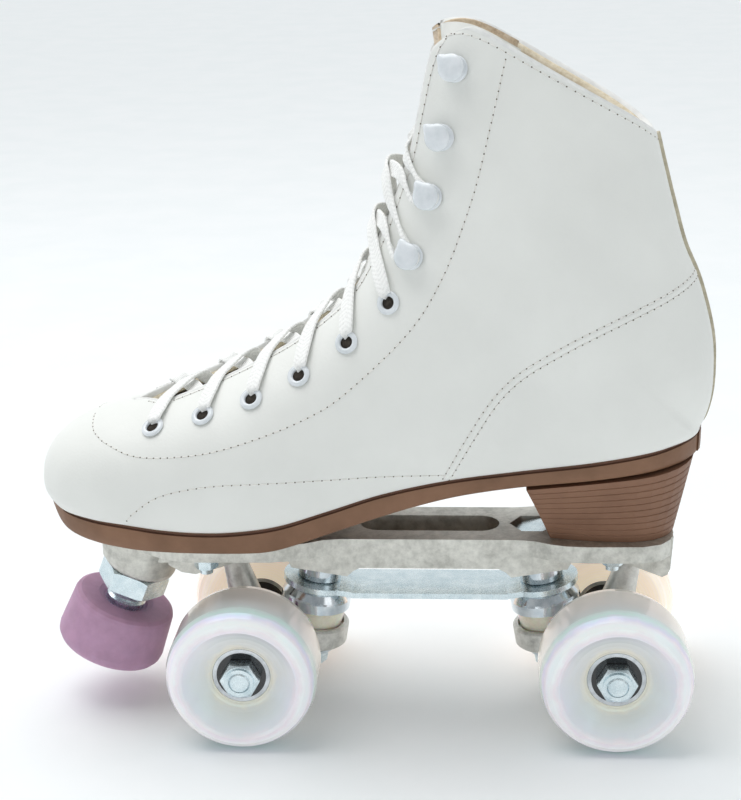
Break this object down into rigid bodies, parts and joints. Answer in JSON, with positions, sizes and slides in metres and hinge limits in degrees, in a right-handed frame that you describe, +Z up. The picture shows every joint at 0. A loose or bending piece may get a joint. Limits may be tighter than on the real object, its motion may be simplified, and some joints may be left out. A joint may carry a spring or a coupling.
{
  "type": "quad roller skate",
  "caption": "High white lace-up boot on a metal plate with two sprung steering trucks, four rolling wheels and a screw-in rubber toe stop.",
  "frame": {"origin": "on the floor under the middle of the skate's length and width", "axes": "+X towards the heel, +Y towards the skate's right side, +Z up"},
  "size_m": [0.2556, 0.102, 0.2638],
  "materials": {
    "white_leather": "smooth coated white leather with fine grain",
    "fleece": "soft beige lining fabric",
    "board": "pressed fibre board",
    "brown_sole": "smooth moulded brown soling",
    "white_enamel": "white enamel",
    "lace_weave": "flat woven white tape",
    "zinc_steel": "zinc plated",
    "cast_plate": "as-cast, slightly mottled",
    "cup_black": "black moulded cup",
    "dark_steel": "oiled steel",
    "chrome_parts": "bright chrome",
    "cushion_cream": "cream translucent urethane",
    "cast_hanger": "as-cast with machined ring faces",
    "bearing_steel": "ground steel",
    "wheel_near": "milky white urethane, teal tint near the tread",
    "shield_black": "black rubber shield",
    "wheel_far": "peach urethane",
    "stop_mauve": "matte mauve rubber"
  },
  "bodies": {
    "skate": {"boot_vamp": "white_leather", "left_quarter": "white_leather", "right_quarter": "white_leather", "boot_lining": "fleece", "heel_counter": "board", "toe_puff": "board", "tongue": "white_leather", "insole_board": "board", "insole": "fleece", "outsole": "brown_sole", "heel_block": "brown_sole", "eyelets": "white_enamel", "lace_hooks": "white_enamel", "lace": "lace_weave", "mounting_bolts": "zinc_steel", "mounting_nuts": "zinc_steel", "plate": "cast_plate", "pivot_cups": "cup_black", "front_kingpin": "dark_steel", "rear_kingpin": "dark_steel", "kingpin_collars": "chrome_parts", "truck_strap": "zinc_steel", "upper_cup_washers": "chrome_parts", "lower_cup_washers": "zinc_steel", "kingpin_nuts": "zinc_steel", "front_upper_cushion": "cushion_cream", "front_lower_cushion": "cushion_cream", "rear_upper_cushion": "cushion_cream", "rear_lower_cushion": "cushion_cream", "toe_stop_lock_nut": "zinc_steel"},
    "front_truck": {"front_hanger": "cast_hanger", "front_axle": "dark_steel", "front_axle_nuts": "zinc_steel", "front_inner_rings": "bearing_steel"},
    "rear_truck": {"rear_hanger": "cast_hanger", "rear_axle": "dark_steel", "rear_axle_nuts": "zinc_steel", "rear_inner_rings": "bearing_steel"},
    "front_left_wheel": {"wheel_fl": "wheel_near", "outer_rings_fl": "bearing_steel", "shields_fl": "shield_black"},
    "front_left_ball_sets": {"balls_fl": "bearing_steel"},
    "front_right_wheel": {"wheel_fr": "wheel_far", "outer_rings_fr": "bearing_steel", "shields_fr": "shield_black"},
    "front_right_ball_sets": {"balls_fr": "bearing_steel"},
    "rear_left_wheel": {"wheel_rl": "wheel_near", "outer_rings_rl": "bearing_steel", "shields_rl": "shield_black"},
    "rear_left_ball_sets": {"balls_rl": "bearing_steel"},
    "rear_right_wheel": {"wheel_rr": "wheel_far", "outer_rings_rr": "bearing_steel", "shields_rr": "shield_black"},
    "rear_right_ball_sets": {"balls_rr": "bearing_steel"},
    "toe_stop": {"toe_stop_stem": "chrome_parts"},
    "toe_stop_rubber": {"toe_stop_pad": "stop_mauve"}
  },
  "joints": [
    {"name": "front_steer", "type": "hinge", "parent": "skate", "child": "front_truck", "pos_m": [-0.0572, 0, 0.0635], "axis": [0.6687, 0, -0.7435], "range_deg": [-8, 8], "stiffness_Nm_per_rad": 30, "deforming": ["front_upper_cushion", "front_lower_cushion"]},
    {"name": "rear_steer", "type": "hinge", "parent": "skate", "child": "rear_truck", "pos_m": [0.1002, 0, 0.0635], "axis": [-0.6687, 0, -0.7435], "range_deg": [-8, 8], "stiffness_Nm_per_rad": 30, "deforming": ["rear_upper_cushion", "rear_lower_cushion"]},
    {"name": "front_left_wheel_spin", "type": "hinge", "parent": "front_truck", "child": "front_left_wheel", "pos_m": [-0.04835, 0, 0.0285], "axis": [0, 1, 0], "continuous": true},
    {"name": "front_left_balls_roll", "type": "hinge", "parent": "front_truck", "child": "front_left_ball_sets", "pos_m": [-0.04835, 0, 0.0285], "axis": [0, 1, 0], "continuous": true},
    {"name": "front_right_wheel_spin", "type": "hinge", "parent": "front_truck", "child": "front_right_wheel", "pos_m": [-0.04835, 0, 0.0285], "axis": [0, 1, 0], "continuous": true},
    {"name": "front_right_balls_roll", "type": "hinge", "parent": "front_truck", "child": "front_right_ball_sets", "pos_m": [-0.04835, 0, 0.0285], "axis": [0, 1, 0], "continuous": true},
    {"name": "rear_left_wheel_spin", "type": "hinge", "parent": "rear_truck", "child": "rear_left_wheel", "pos_m": [0.09135, 0, 0.0285], "axis": [0, 1, 0], "continuous": true},
    {"name": "rear_left_balls_roll", "type": "hinge", "parent": "rear_truck", "child": "rear_left_ball_sets", "pos_m": [0.09135, 0, 0.0285], "axis": [0, 1, 0], "continuous": true},
    {"name": "rear_right_wheel_spin", "type": "hinge", "parent": "rear_truck", "child": "rear_right_wheel", "pos_m": [0.09135, 0, 0.0285], "axis": [0, 1, 0], "continuous": true},
    {"name": "rear_right_balls_roll", "type": "hinge", "parent": "rear_truck", "child": "rear_right_ball_sets", "pos_m": [0.09135, 0, 0.0285], "axis": [0, 1, 0], "continuous": true},
    {"name": "toe_stop_height", "type": "slide", "parent": "skate", "child": "toe_stop", "axis": [0.3746, 0, 0.9272], "range_m": [-0.008, 0.003]},
    {"name": "toe_stop_turn", "type": "hinge", "parent": "toe_stop", "child": "toe_stop_rubber", "pos_m": [-0.1, 0, 0.0405], "axis": [0.3746, 0, 0.9272], "range_deg": [-1360.6, 510.2]}
  ],
  "couplings": [
    {"joint": "front_left_balls_roll", "follows": "front_left_wheel_spin", "ratio": 0.632},
    {"joint": "front_right_balls_roll", "follows": "front_right_wheel_spin", "ratio": 0.632},
    {"joint": "rear_left_balls_roll", "follows": "rear_left_wheel_spin", "ratio": 0.632},
    {"joint": "rear_right_balls_roll", "follows": "rear_right_wheel_spin", "ratio": 0.632},
    {"joint": "toe_stop_turn", "follows": "toe_stop_height", "rad_per_m": 2968.4}
  ]
}
